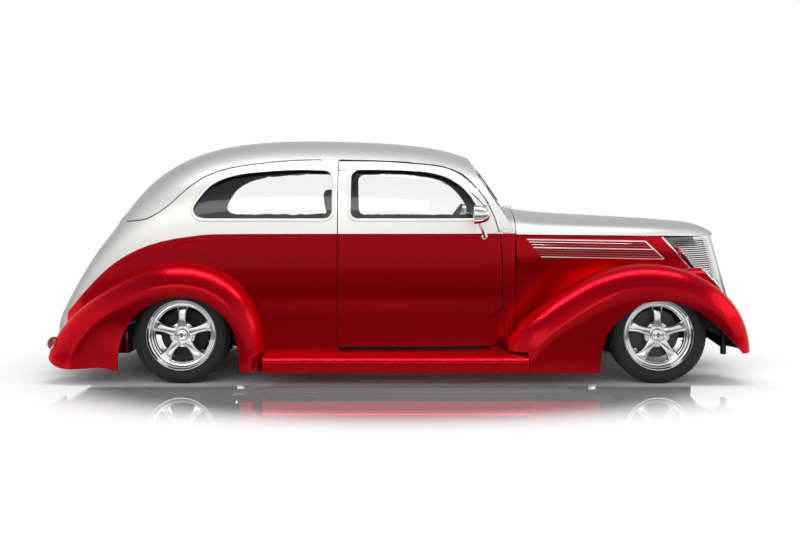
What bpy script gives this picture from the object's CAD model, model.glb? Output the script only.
"""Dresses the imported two-door sedan: paint, wheels, trim, glass, cabin, running gear, stage."""

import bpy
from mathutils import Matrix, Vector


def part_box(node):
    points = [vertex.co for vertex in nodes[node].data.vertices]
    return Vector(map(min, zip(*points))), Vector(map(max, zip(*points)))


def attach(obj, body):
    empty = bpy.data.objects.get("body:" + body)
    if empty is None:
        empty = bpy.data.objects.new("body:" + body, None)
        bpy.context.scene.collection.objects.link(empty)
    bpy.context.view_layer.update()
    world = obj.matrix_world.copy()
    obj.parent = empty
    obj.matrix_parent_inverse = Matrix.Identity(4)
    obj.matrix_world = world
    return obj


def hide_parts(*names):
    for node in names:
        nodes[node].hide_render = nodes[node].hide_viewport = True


bl_info = {
    "name": "Two-tone street sedan",
    "version": (1, 0, 0),
    "blender": (4, 5, 0),
    "location": "3D View > Sidebar > Sedan",
    "description": "Dresses the packed sedan with paint, wheels, trim, glass and a cabin",
    "category": "Object",
}

from math import atan2, cos, exp, pi, radians, sin, sqrt

import bmesh
import bpy
from bpy.props import FloatProperty, FloatVectorProperty, IntProperty, PointerProperty
from mathutils import Matrix, Vector
from mathutils.bvhtree import BVHTree

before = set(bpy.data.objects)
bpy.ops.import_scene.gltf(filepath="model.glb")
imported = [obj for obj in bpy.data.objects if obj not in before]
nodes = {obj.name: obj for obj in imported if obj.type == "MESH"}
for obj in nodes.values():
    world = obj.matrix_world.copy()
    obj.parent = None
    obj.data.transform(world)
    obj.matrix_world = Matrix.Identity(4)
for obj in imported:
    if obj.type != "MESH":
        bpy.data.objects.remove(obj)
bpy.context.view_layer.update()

SIDES = (("right", -1), ("left", 1))
AXLES = ("front", "rear")
AHEAD, LEFT, UP = Vector((1, 0, 0)), Vector((0, 1, 0)), Vector((0, 0, 1))

# Places along the body, (x, z) in metres, that more than one piece follows.
BELT = (
    (-2.161, 0.248), (-2.079, 0.370), (-1.984, 0.470), (-1.845, 0.610), (-1.708, 0.725),
    (-1.512, 0.823), (-1.250, 0.878), (-0.900, 0.892), (0.702, 0.892),
)
DRIP = (
    (-1.660, 0.968), (-1.525, 0.985), (-1.400, 1.062), (-1.281, 1.172), (-1.159, 1.250),
    (-0.974, 1.303), (-0.608, 1.340), (-0.122, 1.337), (0.122, 1.321), (0.330, 1.282),
    (0.440, 1.204), (0.548, 1.062),
)
QUARTER_LIGHT = (
    (-1.175, 0.985), (-1.215, 0.993), (-1.243, 1.035), (-1.212, 1.102), (-1.151, 1.176),
    (-1.030, 1.237), (-0.848, 1.266), (-0.606, 1.279), (-0.470, 1.276), (-0.424, 1.258),
    (-0.410, 1.212), (-0.410, 1.130), (-0.410, 1.040), (-0.422, 1.002), (-0.462, 0.985),
    (-0.640, 0.985), (-0.820, 0.985), (-1.000, 0.985),
)
DOOR_LIGHT = (
    (-0.297, 1.030), (-0.297, 1.130), (-0.297, 1.225), (-0.280, 1.264), (-0.235, 1.278),
    (0.000, 1.277), (0.121, 1.268), (0.243, 1.246), (0.333, 1.207), (0.382, 1.170),
    (0.424, 1.122), (0.454, 1.080), (0.474, 1.034), (0.476, 1.015), (0.466, 0.994),
    (0.440, 0.985), (0.300, 0.985), (0.100, 0.985), (-0.080, 0.985), (-0.250, 0.985),
    (-0.285, 0.997),
)
# Foot and head of the windshield's middle post, and how far each pane is swept back.
POST_FOOT = (0.663, 1.058)
POST_HEAD = (0.477, 1.326)
SCREEN_SWEEP = radians(5)

# Metallic and roughness values of the two paints, and the colour of road dust on metal.
CANDY_METAL, CANDY_ROUGHNESS = 0.92, 0.26
PEARL_METAL, PEARL_ROUGHNESS = 0.5, 0.42
ROAD_DUST = (0.16, 0.145, 0.125)
# Edges are bevelled above the first angle and shaded smooth below the second.
BEVEL_ABOVE, SMOOTH_BELOW = radians(40), radians(38)


# ---------------------------------------------------------------- settings
def size(name, text, default):
    return FloatProperty(name=name, description=text, default=default, subtype="DISTANCE",
                         unit="LENGTH")


def colour(name, text, default):
    return FloatVectorProperty(name=name, description=text, default=default, size=3,
                               subtype="COLOR", min=0, max=1)


class PaintSettings(bpy.types.PropertyGroup):
    lower: colour("Lower colour", "Candy colour below the belt, seen square on", (0.30, 0.0, 0.003))
    lower_edge: colour("Lower edge colour", "Candy colour seen at a slant", (1.0, 0.0, 0.024))
    upper: colour("Upper colour", "Pearl colour above the belt, seen square on",
                  (0.96, 0.935, 0.88))
    upper_edge: colour("Upper edge colour", "Pearl colour seen at a slant",
                       (0.19, 0.186, 0.178))
    flake: size("Flake", "Size of a flake in the base coat", 0.0012)
    peel: size("Orange peel", "Length of the ripples in the clear coat", 0.02)


class WheelSettings(bpy.types.PropertyGroup):
    tyre_radius: size("Tyre radius", "From the axle to the crown of the tread", 0.290)
    tyre_half: size("Half tyre width", "From the wheel's middle to a side wall", 0.094)
    lip_radius: size("Lip radius", "Outer radius of the rim", 0.209)
    rim_half: size("Half rim width", "From the wheel's middle to the rim's edge", 0.088)
    spoke_root: size("Spoke root", "Radius at which a spoke leaves the hub", 0.048)
    spoke_tip: size("Spoke tip", "Radius at which a spoke meets the barrel", 0.170)
    stud_radius: size("Stud circle", "Radius of the circle of wheel nuts", 0.058)
    spokes: IntProperty(name="Spokes", description="Number of spokes", default=5, min=3)
    blocks: IntProperty(name="Tread blocks", description="Tread blocks round a tyre", default=76,
                        min=12)


class TrimSettings(bpy.types.PropertyGroup):
    bead: size("Belt bead", "Half-width of the pressed bead under the belt", 0.006)
    rail: size("Drip rail", "Half-width of the drip rail", 0.0038)
    strip: size("Bright strip", "Half-width of the hood's bright strips", 0.0065)
    reveal: size("Window reveal", "Width of the raised frame round a side window", 0.017)


class CabinSettings(bpy.types.PropertyGroup):
    leather: colour("Leather", "Seat leather", (0.045, 0.046, 0.052))
    cloth: colour("Lining", "Headlining and side trim", (0.052, 0.052, 0.056))
    carpet: colour("Carpet", "Floor carpet", (0.03, 0.03, 0.033))
    pleat: size("Pleat", "Distance between sewn channels", 0.075)


class StageSettings(bpy.types.PropertyGroup):
    eye: FloatVectorProperty(name="Eye", description="Camera's place", default=(0, -7.58, 1.138),
                             subtype="TRANSLATION", unit="LENGTH")
    lens: FloatProperty(name="Lens", description="Focal length in millimetres", default=51.6)
    rise: FloatProperty(name="Rise", description="Vertical shift of the picture", default=-0.0925)
    floor: colour("Floor", "Colour of the floor", (0.97, 0.97, 0.97))
    sky: colour("Sky", "Colour of the world overhead", (0.36, 0.39, 0.44))
    key: FloatProperty(name="Key", description="Power of the overhead lamp", default=170,
                       unit="POWER")
    fill: FloatProperty(name="Fill", description="Power of the lamp beside the camera", default=56,
                        unit="POWER")


SETTINGS = {
    "sedan_paint": PaintSettings, "sedan_wheels": WheelSettings, "sedan_trim": TrimSettings,
    "sedan_cabin": CabinSettings, "sedan_stage": StageSettings,
}


# ---------------------------------------------------------------- node groups
def put(socket, value):
    """Link another socket into a socket, or set a plain value."""
    if isinstance(value, bpy.types.NodeSocket):
        socket.id_data.links.new(value, socket)
    else:
        socket.default_value = value


def feed(node, **inputs):
    """Link or set inputs of a node by name."""
    for key, value in inputs.items():
        put(node.inputs[key.replace("_", " ")], value)


def add_node(tree, kind, inputs=None, **settings):
    node = tree.nodes.new(kind)
    for key, value in settings.items():
        setattr(node, key, value)
    for key, value in (inputs or {}).items():
        put(node.inputs[key], value)
    return node


def maths(operation):
    """Function that adds a node for the operation and returns its result."""
    def result(tree, first, second=0.0, clamp=False):
        return add_node(tree, "ShaderNodeMath", {0: first, 1: second}, operation=operation,
                        use_clamp=clamp).outputs[0]
    return result


plus, minus, times, over = maths("ADD"), maths("SUBTRACT"), maths("MULTIPLY"), maths("DIVIDE")
power, absolute = maths("POWER"), maths("ABSOLUTE")


def fade(tree, value, start, full):
    """Smooth step from 0 at the first value to 1 at the second."""
    return add_node(tree, "ShaderNodeMapRange", {
        "Value": value, "From Min": start, "From Max": full},
        interpolation_type="SMOOTHSTEP").outputs["Result"]


def group(name, inputs, *outputs):
    """An empty node group, its input sockets and its output node; only a Normal is a vector."""
    tree = bpy.data.node_groups.new(name, "ShaderNodeTree")
    for socket, default in inputs.items():
        made = tree.interface.new_socket(socket, in_out="INPUT", socket_type="NodeSocketFloat")
        made.default_value = default
    for socket in outputs:
        kind = "NodeSocketVector" if socket == "Normal" else "NodeSocketFloat"
        tree.interface.new_socket(socket, in_out="OUTPUT", socket_type=kind)
    return tree, tree.nodes.new("NodeGroupInput").outputs, tree.nodes.new("NodeGroupOutput")


def object_place(tree):
    return tree.nodes.new("ShaderNodeTexCoord").outputs["Object"]


def split(tree, vector):
    return add_node(tree, "ShaderNodeSeparateXYZ", {0: vector}).outputs


def texture(tree, kind, scale, result="Fac", inputs=None, **settings):
    """Result of a texture that is laid out in the object's own space."""
    given = {"Vector": object_place(tree), "Scale": scale, **(inputs or {})}
    return add_node(tree, "ShaderNodeTex" + kind, given, **settings).outputs[result]


def bump(tree, height, strength, depth):
    return add_node(tree, "ShaderNodeBump", {
        "Height": height, "Strength": strength, "Distance": depth}).outputs["Normal"]


def make_speckle():
    """Cells of random brightness: paint flake, cast grain, carpet tufts."""
    tree, given, result = group("Speckle", {"Size": 0.002, "Spread": 0.3}, "Value")
    cells = texture(tree, "Voronoi", over(tree, 1.0, given["Size"]), "Color")
    tone = add_node(tree, "ShaderNodeSeparateColor", {"Color": cells}).outputs[0]
    swing = times(tree, minus(tree, tone, 0.5), given["Spread"])
    feed(result, Value=plus(tree, swing, 0.5))


def make_ripple():
    """Shallow ripples as a bump, and the same ripples as a value."""
    tree, given, result = group("Ripple", {"Length": 0.02, "Strength": 0.05, "Depth": 0.001},
                                "Normal", "Value")
    waves = texture(tree, "Noise", over(tree, 1.0, given["Length"]), inputs={"Detail": 3.0})
    feed(result, Normal=bump(tree, waves, given["Strength"], given["Depth"]), Value=waves)


def make_grain():
    """Leather or moulded grain: pebbles between creases, as a bump and a crease mask."""
    tree, given, result = group("Pebble Grain", {"Size": 0.003, "Strength": 0.4},
                                "Normal", "Crease")
    scale = over(tree, 1.0, given["Size"])
    pebbles = texture(tree, "Voronoi", scale, "Distance", feature="DISTANCE_TO_EDGE")
    fine = texture(tree, "Noise", scale)
    height = plus(tree, times(tree, pebbles, 2.0, True), times(tree, fine, 0.3))
    feed(result, Normal=bump(tree, height, given["Strength"], 0.0006),
         Crease=minus(tree, 1.0, times(tree, pebbles, 4.0, True)))


def make_road_film():
    """Thin film of road dust that fades upwards from the floor, broken by blotches."""
    tree, given, result = group("Road Film", {"Height": 0.35, "Amount": 0.4}, "Mask")
    height = split(tree, object_place(tree))["Z"]
    lower = minus(tree, 1.0, over(tree, height, given["Height"]), True)
    mottled = times(tree, lower, texture(tree, "Noise", 14.0, inputs={"Detail": 6.0}))
    feed(result, Mask=times(tree, mottled, given["Amount"], True))


def make_weave():
    """Two crossing threads, as a bump and a tone."""
    tree, given, result = group("Weave", {"Thread": 0.002, "Strength": 0.3}, "Normal", "Tone")
    scale = over(tree, 0.3, given["Thread"])
    tone = times(tree, *(texture(tree, "Wave", scale, bands_direction=way) for way in "XZ"))
    feed(result, Normal=bump(tree, tone, given["Strength"], 0.0008), Tone=tone)


def make_colour_break():
    """1 above the painted belt line and 0 below it."""
    tree, _, result = group("Colour Break", {}, "Upper")
    place = split(tree, object_place(tree))
    line = smooth_run(BELT, 3)
    low, high = line[0].x, line[-1].x
    along_belt = over(tree, minus(tree, place["X"], low), high - low)
    ramp = add_node(tree, "ShaderNodeValToRGB", {"Fac": along_belt})
    stops = ramp.color_ramp.elements
    while len(stops) < len(line):
        stops.new(0.5)
    for stop, spot in zip(stops, line):
        stop.position = (spot.x - low) / (high - low)
        stop.color = (spot.y, spot.y, spot.y, 1)
    above = minus(tree, place["Z"], ramp.outputs["Color"])
    feed(result, Upper=times(tree, above, 900.0, True))


def effect(tree, name, **inputs):
    """Output sockets of a node group placed in a material."""
    node = add_node(tree, "ShaderNodeGroup", node_tree=bpy.data.node_groups[name])
    feed(node, **inputs)
    return node.outputs


def mix(tree, factor, first, second):
    """A colour between two, each a colour or a socket."""
    node = add_node(tree, "ShaderNodeMix", {0: factor}, data_type="RGBA")
    for index, value in ((6, first), (7, second)):
        is_socket = isinstance(value, bpy.types.NodeSocket)
        put(node.inputs[index], value if is_socket else (*value[:3], 1))
    return node.outputs[2]


def blended(tree, factor, first, second):
    """A shader between two."""
    return add_node(tree, "ShaderNodeMixShader", {0: factor, 1: first, 2: second}).outputs[0]


def shade(value, factor):
    return tuple(min(1.0, part * factor) for part in value)


# ---------------------------------------------------------------- finishes
def coat_paint(tree, shader, colours, metal=CANDY_METAL, roughness=CANDY_ROUGHNESS):
    """Flaked base under a clear coat; colours is a function of the tree and the flake value."""
    paint = bpy.context.scene.sedan_paint
    flake = effect(tree, "Speckle", Size=paint.flake, Spread=0.9)["Value"]
    peel = effect(tree, "Ripple", Length=paint.peel, Strength=0.03, Depth=0.0006)["Normal"]
    rough = plus(tree, times(tree, flake, 0.10), roughness - 0.05)
    feed(shader, Base_Color=colours(tree, flake), Metallic=metal, Roughness=rough, Normal=peel,
         Coat_Weight=0.3, Coat_Roughness=0.02, Coat_IOR=1.28, Specular_IOR_Level=0.2,
         Specular_Tint=(*shade(paint.lower, 2.0), 1))
    return rough


def split_paint(tree, shader):
    """Both colours, parted at the belt, with the deeper gloss below it."""
    rough = coat_paint(tree, shader, both_tones)
    upper = effect(tree, "Colour Break")["Upper"]
    tint = shade(bpy.context.scene.sedan_paint.lower, 2.0)
    feed(shader, Specular_Tint=mix(tree, upper, tint, (1, 1, 1)),
         Metallic=minus(tree, CANDY_METAL, times(tree, upper, CANDY_METAL - PEARL_METAL)),
         Roughness=plus(tree, rough, times(tree, upper, PEARL_ROUGHNESS - CANDY_ROUGHNESS)))


def pearl_paint(tree, shader):
    coat_paint(tree, shader, upper_tone, PEARL_METAL, PEARL_ROUGHNESS)
    feed(shader, Specular_Tint=(1, 1, 1, 1))


def slanted(tree, flake, tone, spread, edge):
    """Flaked colour of a surface seen square on, turning into another one seen from the side."""
    facing = add_node(tree, "ShaderNodeLayerWeight", {"Blend": 0.5}).outputs["Facing"]
    face = mix(tree, flake, shade(tone, 1 - spread), shade(tone, 1 + spread))
    return mix(tree, power(tree, facing, 0.8), face, edge)


def lower_tone(tree, flake):
    paint = bpy.context.scene.sedan_paint
    return slanted(tree, flake, paint.lower, 0.14, paint.lower_edge)


def upper_tone(tree, flake):
    paint = bpy.context.scene.sedan_paint
    return slanted(tree, flake, paint.upper, 0.07, paint.upper_edge)


def both_tones(tree, flake):
    upper = effect(tree, "Colour Break")["Upper"]
    return mix(tree, upper, lower_tone(tree, flake), upper_tone(tree, flake))


def bright_metal(tree, shader, tone, roughness, ripple):
    haze = effect(tree, "Ripple", Length=0.05, Strength=ripple, Depth=0.0005)
    feed(shader, Base_Color=mix(tree, haze["Value"], shade(tone, 0.94), tone), Metallic=1.0,
         Roughness=plus(tree, times(tree, haze["Value"], 0.06), roughness - 0.02),
         Normal=haze["Normal"])


def cast_metal(tree, shader, tone, roughness, grain, film=0.25, metallic=0.7):
    """Cast, forged or sprayed metal with a fine grain and a little road film."""
    speck = effect(tree, "Speckle", Size=grain, Spread=0.8)["Value"]
    dust = effect(tree, "Road Film", Height=0.45, Amount=film)["Mask"]
    base = mix(tree, speck, shade(tone, 0.85), shade(tone, 1.15))
    skin = effect(tree, "Ripple", Length=grain * 3, Strength=0.25, Depth=0.0004)["Normal"]
    feed(shader, Base_Color=mix(tree, dust, base, ROAD_DUST), Metallic=metallic, Normal=skin,
         Roughness=plus(tree, times(tree, dust, 0.5), roughness))


def tyre_rubber(tree, shader):
    grain = effect(tree, "Pebble Grain", Size=0.0022, Strength=0.18)
    dust = effect(tree, "Road Film", Height=0.5, Amount=0.10)["Mask"]
    base = mix(tree, grain["Crease"], (0.013, 0.013, 0.014), (0.008, 0.008, 0.009))
    feed(shader, Base_Color=mix(tree, dust, base, (0.10, 0.095, 0.09)), Normal=grain["Normal"],
         Roughness=0.62, Specular_IOR_Level=0.35)


def moulded_rubber(tree, shader):
    grain = effect(tree, "Pebble Grain", Size=0.0016, Strength=0.15)
    base = mix(tree, grain["Crease"], (0.014, 0.014, 0.015), (0.009, 0.009, 0.01))
    feed(shader, Base_Color=base, Normal=grain["Normal"], Roughness=0.48, Specular_IOR_Level=0.4)


def leather_hide(tree, shader):
    hide = bpy.context.scene.sedan_cabin.leather
    grain = effect(tree, "Pebble Grain", Size=0.0042, Strength=0.5)
    wear = effect(tree, "Ripple", Length=0.12, Strength=0.0, Depth=0.001)["Value"]
    worn = mix(tree, wear, shade(hide, 0.8), shade(hide, 1.3))
    feed(shader, Base_Color=mix(tree, grain["Crease"], worn, shade(hide, 0.5)),
         Normal=grain["Normal"], Roughness=plus(tree, times(tree, wear, 0.2), 0.33),
         Specular_IOR_Level=0.5)


def woven_cloth(tree, shader):
    cloth = bpy.context.scene.sedan_cabin.cloth
    weave = effect(tree, "Weave", Thread=0.0025, Strength=0.3)
    feed(shader, Base_Color=mix(tree, weave["Tone"], shade(cloth, 0.75), shade(cloth, 1.3)),
         Normal=weave["Normal"], Roughness=0.9, Sheen_Weight=0.25, Sheen_Roughness=0.5)


def cut_pile(tree, shader):
    carpet = bpy.context.scene.sedan_cabin.carpet
    tuft = effect(tree, "Speckle", Size=0.004, Spread=1.0)["Value"]
    lay = effect(tree, "Ripple", Length=0.01, Strength=0.8, Depth=0.003)["Normal"]
    feed(shader, Base_Color=mix(tree, tuft, shade(carpet, 0.6), shade(carpet, 1.6)),
         Normal=lay, Roughness=0.97, Sheen_Weight=0.4, Sheen_Roughness=0.6)


def clear_glass(tree, shader, tint, ripple):
    wave = effect(tree, "Ripple", Length=0.25, Strength=ripple, Depth=0.0005)
    feed(shader, Base_Color=mix(tree, wave["Value"], shade(tint, 0.99), tint),
         Normal=wave["Normal"], Roughness=0.0, IOR=1.45, Transmission_Weight=1.0)


def fluted_glass(tree, shader, tint):
    """Pressed lamp glass with upright flutes."""
    flutes = texture(tree, "Wave", 28.0, bands_direction="Y")
    feed(shader, Base_Color=mix(tree, flutes, shade(tint, 0.92), tint),
         Normal=bump(tree, flutes, 0.5, 0.002), Roughness=0.02, IOR=1.5, Transmission_Weight=0.9)


def polished_floor(tree, shader):
    """Pale polished floor that turns into the plain background away from the object."""
    tone = bpy.context.scene.sedan_stage.floor
    grain = add_node(tree, "ShaderNodeTexNoise", {"Scale": 60}).outputs["Fac"]
    feed(shader, Base_Color=mix(tree, grain, shade(tone, 0.985), tone), Roughness=0.9,
         Specular_IOR_Level=0.0)
    place = add_node(tree, "ShaderNodeVectorMath", {0: object_place(tree), 1: (0.80, 1.0, 0.0)},
                     operation="MULTIPLY").outputs["Vector"]
    reach = add_node(tree, "ShaderNodeVectorMath", {0: place}, operation="LENGTH").outputs["Value"]
    along_x, across, _ = split(tree, place)
    polish = fade(tree, reach, 2.4, 1.6)
    beside = fade(tree, absolute(tree, across), 0.74, 0.90)
    within = fade(tree, absolute(tree, along_x), 2.20, 1.90)
    mirror = add_node(tree, "ShaderNodeBsdfGlossy", {"Roughness": 0.015}).outputs[0]
    glossy_part = times(tree, times(tree, polish, beside), within)
    surface = blended(tree, times(tree, glossy_part, 0.85), shader.outputs[0], mirror)
    # On the camera's side the floor is dim in reflections, so that paint and chrome gain depth.
    patch = times(tree, fade(tree, across, -1.0, -1.8), fade(tree, across, -9.5, -6.0))
    glossy = tree.nodes.new("ShaderNodeLightPath").outputs["Is Glossy Ray"]
    tint = mix(tree, times(tree, patch, glossy), (1, 1, 1), (0.2, 0.2, 0.195))
    glow = add_node(tree, "ShaderNodeEmission", {"Color": tint, "Strength": 1.0}).outputs[0]
    far = times(tree, fade(tree, reach, 1.55, 2.4), seen_rays(tree))
    feed(tree.nodes["Material Output"], Surface=blended(tree, far, surface, glow))


# Function that fills a finish, and what it is given after the tree and the shader.
FINISHES = {
    "Two-tone paint": (split_paint,),
    "Candy red paint": (coat_paint, lower_tone),
    "Pearl paint": (pearl_paint,),
    "Chrome": (bright_metal, (0.80, 0.80, 0.80), 0.06, 0.02),
    "Polished alloy": (bright_metal, (0.76, 0.77, 0.79), 0.14, 0.05),
    "Brushed stainless": (bright_metal, (0.55, 0.54, 0.52), 0.32, 0.10),
    "Chassis black": (cast_metal, (0.022, 0.022, 0.024), 0.45, 0.002),
    "Cast iron": (cast_metal, (0.075, 0.072, 0.07), 0.42, 0.0015),
    "Engine enamel": (cast_metal, (0.30, 0.30, 0.31), 0.35, 0.003, 0.1, 0.3),
    "Tyre rubber": (tyre_rubber,),
    "Moulded rubber": (moulded_rubber,),
    "Leather": (leather_hide,),
    "Lining cloth": (woven_cloth,),
    "Carpet": (cut_pile,),
    "Window glass": (clear_glass, (0.994, 1.0, 0.998), 0.01),
    "Lamp glass": (fluted_glass, (0.97, 0.98, 1.0)),
    "Red lens": (fluted_glass, (0.55, 0.01, 0.01)),
    "Floor": (polished_floor,),
}


def finish(name):
    """The named material, made when it is first asked for."""
    material = bpy.data.materials.get(name)
    if not material:
        material = bpy.data.materials.new(name)
        material.use_nodes = True
        fill, *given = FINISHES[name]
        fill(material.node_tree, material.node_tree.nodes["Principled BSDF"], *given)
    return material


# ---------------------------------------------------------------- shaping
def shown(bm, name):
    """Object in the scene that takes a bmesh over."""
    mesh = bpy.data.meshes.new(name)
    bm.to_mesh(mesh)
    bm.free()
    made = bpy.data.objects.new(name, mesh)
    bpy.context.scene.collection.objects.link(made)
    return made


def fitted(bm, name, material, body="root", sharp_above=None):
    """Turn a bmesh in the row frame into a smooth piece that rides on a body."""
    made = shown(bm, name)
    made.data.materials.append(finish(material))
    made.data.shade_smooth()
    if sharp_above:
        made.data.set_sharp_from_angle(angle=sharp_above)
    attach(made, body)
    return made


def piece(bm, name, material, body="root", bevel=0.0):
    """A fitted piece with clean normals, sharp where it turns sharply, and bevelled if asked."""
    bmesh.ops.remove_doubles(bm, verts=bm.verts, dist=1e-6)
    bmesh.ops.recalc_face_normals(bm, faces=bm.faces)
    if bevel:
        sharp = [edge for edge in bm.edges
                 if len(edge.link_faces) == 2 and edge.calc_face_angle() > BEVEL_ABOVE]
        bmesh.ops.bevel(bm, geom=sharp, offset=bevel, offset_type="OFFSET", affect="EDGES",
                        segments=2, profile=0.5, material=-1, clamp_overlap=True)
    return fitted(bm, name, material, body, SMOOTH_BELOW)


def block(bm, place, *measures):
    """Box of three measures in a place or about a point."""
    if not isinstance(place, Matrix):
        place = Matrix.Translation(place)
    bmesh.ops.create_cube(bm, size=1.0, matrix=place @ Matrix.Diagonal((*measures, 1)))


def turned(bm, profile, place, steps=64):
    """Spin a closed profile of (radius, height) points about the Z axis of a place."""
    known = set(bm.verts)
    chain = [bm.verts.new((radius, 0, height)) for radius, height in profile]
    edges = [bm.edges.new(pair) for pair in zip(chain, chain[1:] + chain[:1])]
    bmesh.ops.spin(bm, geom=chain + edges, cent=(0, 0, 0), axis=(0, 0, 1), dvec=(0, 0, 0),
                   angle=2 * pi, steps=steps, use_merge=True, use_duplicate=False)
    fresh = [vert for vert in bm.verts if vert not in known]
    bmesh.ops.remove_doubles(bm, verts=fresh, dist=1e-6)
    fresh = [vert for vert in bm.verts if vert not in known]
    bmesh.ops.transform(bm, matrix=place, verts=fresh)


def axle(centre, outward):
    """Place whose Z axis points outward and whose X axis points up, or ahead on a level face."""
    out = Vector(outward).normalized()
    high = UP if abs(out.z) < 0.9 else AHEAD
    rise = (high - out * high.dot(out)).normalized()
    return stand(centre, rise, out.cross(rise), out)


def stand(centre, x_axis, y_axis, z_axis):
    """Place with that centre and those axes."""
    place = Matrix((x_axis, y_axis, z_axis)).transposed().to_4x4()
    place.translation = centre
    return place


def oval(across, out, count=10, roundness=1.0):
    """Closed outline of (across, out) points, squarer the lower the last value is."""
    points = []
    for i in range(count):
        turn = 2 * pi * (i + 0.5) / count
        x = abs(cos(turn)) ** roundness * (1 if cos(turn) > 0 else -1)
        y = abs(sin(turn)) ** roundness * (1 if sin(turn) > 0 else -1)
        points.append((across * x, out * y))
    return points


def swept(bm, shape, places, closed=False):
    """Draw a shape of (across, out) points at the first place and extrude it through the rest."""
    verts = [bm.verts.new(places[0] @ Vector((a, b, 0))) for a, b in shape]
    first = [bm.edges.new(pair) for pair in zip(verts, verts[1:] + verts[:1])]
    ring = first
    for before, after in zip(places, places[1:]):
        made = bmesh.ops.extrude_edge_only(bm, edges=ring)["geom"]
        moving = [item for item in made if isinstance(item, bmesh.types.BMVert)]
        last = set(moving)
        ring = [item for item in made if isinstance(item, bmesh.types.BMEdge)
                and item.verts[0] in last and item.verts[1] in last]
        bmesh.ops.transform(bm, matrix=after @ before.inverted(), verts=moving)
    if closed:
        bmesh.ops.bridge_loops(bm, edges=first + ring)
    else:
        bmesh.ops.holes_fill(bm, edges=first + ring, sides=0)


def lofted(bm, loops):
    """Skin a run of loops of points, closed at both ends."""
    rings = []
    for loop in loops:
        verts = [bm.verts.new(spot) for spot in loop]
        rings.append([bm.edges.new(pair) for pair in zip(verts, verts[1:] + verts[:1])])
    for before, after in zip(rings, rings[1:]):
        bmesh.ops.bridge_loops(bm, edges=before + after)
    bmesh.ops.holes_fill(bm, edges=rings[0] + rings[-1], sides=0)


def along(points, outs, closed=False, scales=None):
    """Places with Z along a path, Y towards one out direction or one for each point, X across."""
    count = len(points)
    if isinstance(outs, Vector):
        outs = [outs] * count
    places = []
    for i, (point, out) in enumerate(zip(points, outs)):
        after = points[(i + 1) % count] if closed else points[min(i + 1, count - 1)]
        before = points[i - 1] if closed else points[max(i - 1, 0)]
        ahead = (after - before).normalized()
        out = (out - ahead * out.dot(ahead)).normalized()
        wide, tall = scales[i] if scales else (1, 1)
        places.append(stand(point, out.cross(ahead) * wide, out * tall, ahead))
    return places


def smooth_run(points, per_span=4, closed=False):
    """Points on a smooth line through the given ones."""
    count = len(points)
    run = []
    for i in range(count if closed else count - 1):
        a, b, c, d = (Vector(points[k % count if closed else max(0, min(k, count - 1))])
                      for k in range(i - 1, i + 3))
        for step in range(per_span):
            t = step / per_span
            run.append(0.5 * (2 * b + (c - a) * t + (2 * a - 5 * b + 4 * c - d) * t * t
                              + (3 * b - a - 3 * c + d) * t ** 3))
    if not closed:
        run.append(Vector(points[-1]))
    return run


def flat_run(points, per_span, closed=True):
    """Smooth line through flat points, as pairs."""
    return [tuple(spot) for spot in smooth_run(points, per_span, closed)]


def between(first, last, count):
    """Evenly spaced points from one point to another."""
    return [Vector(first).lerp(Vector(last), i / count) for i in range(count + 1)]


def turning(outline):
    """1 where a closed (x, z) outline runs against the clock, -1 where it runs with it."""
    doubled = sum(a[0] * b[1] - b[0] * a[1] for a, b in zip(outline[-1:] + outline, outline))
    return 1 if doubled > 0 else -1


def shifted(outline, amount):
    """A closed (x, z) outline moved outwards by an amount."""
    turn = turning(outline)
    moved = []
    for before, (x, z), after in zip(outline[-1:] + outline, outline, outline[1:] + outline[:1]):
        dx, dz = after[0] - before[0], after[1] - before[1]
        length = sqrt(dx * dx + dz * dz)
        moved.append((x + turn * amount * dz / length, z - turn * amount * dx / length))
    return moved


class Skin:
    """Outer surface of some CAD nodes, looked up from outside."""

    def __init__(self, *names):
        bm = bmesh.new()
        for name in names:
            bm.from_mesh(nodes[name].data)
        self.tree = BVHTree.FromBMesh(bm)
        bm.free()

    def look(self, start, way, near):
        """Point and normal that a line meets first, or those nearest to a place if it misses."""
        hit, normal, _, _ = self.tree.ray_cast(Vector(start), Vector(way))
        if hit is None:
            hit, normal, _, _ = self.tree.find_nearest(Vector(near))
        return hit, normal

    def beside(self, x, z, side):
        return self.look((x, 2 * side, z), (0, -side, 0), (x, 0.7 * side, z))

    def behind(self, y, z):
        return self.look((-3, y, z), AHEAD, (-1.7, y, z))

    def follow(self, line, side, lift=0.0):
        """Points over a line of (x, z) places on one side, and the normals there."""
        found = [self.beside(x, z, side) for x, z in line]
        return [hit + normal * lift for hit, normal in found], [normal for _, normal in found]

    def lay(self, bm, shape, line, side, lift=0.0, closed=False):
        """Sweep a shape along a line on one side."""
        points, outs = self.follow(line, side, lift)
        swept(bm, shape, along(points, outs, closed), closed)


def belt_line(start_x, end_x, drop):
    """Places (x, z) that follow the belt at a distance below it."""
    def height(x):
        for (xa, za), (xb, zb) in zip(BELT, BELT[1:]):
            if x <= xb:
                return za + (zb - za) * max(0.0, (x - xa) / (xb - xa))
        return BELT[-1][1]
    count = max(2, int(abs(end_x - start_x) / 0.05))
    places = [start_x + (end_x - start_x) * i / count for i in range(count + 1)]
    return [(x, height(x) - drop) for x in places]


class DressOperator:
    bl_options = {"REGISTER", "UNDO"}

    def execute(self, context):
        self.dress(context)
        return {"FINISHED"}


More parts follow.
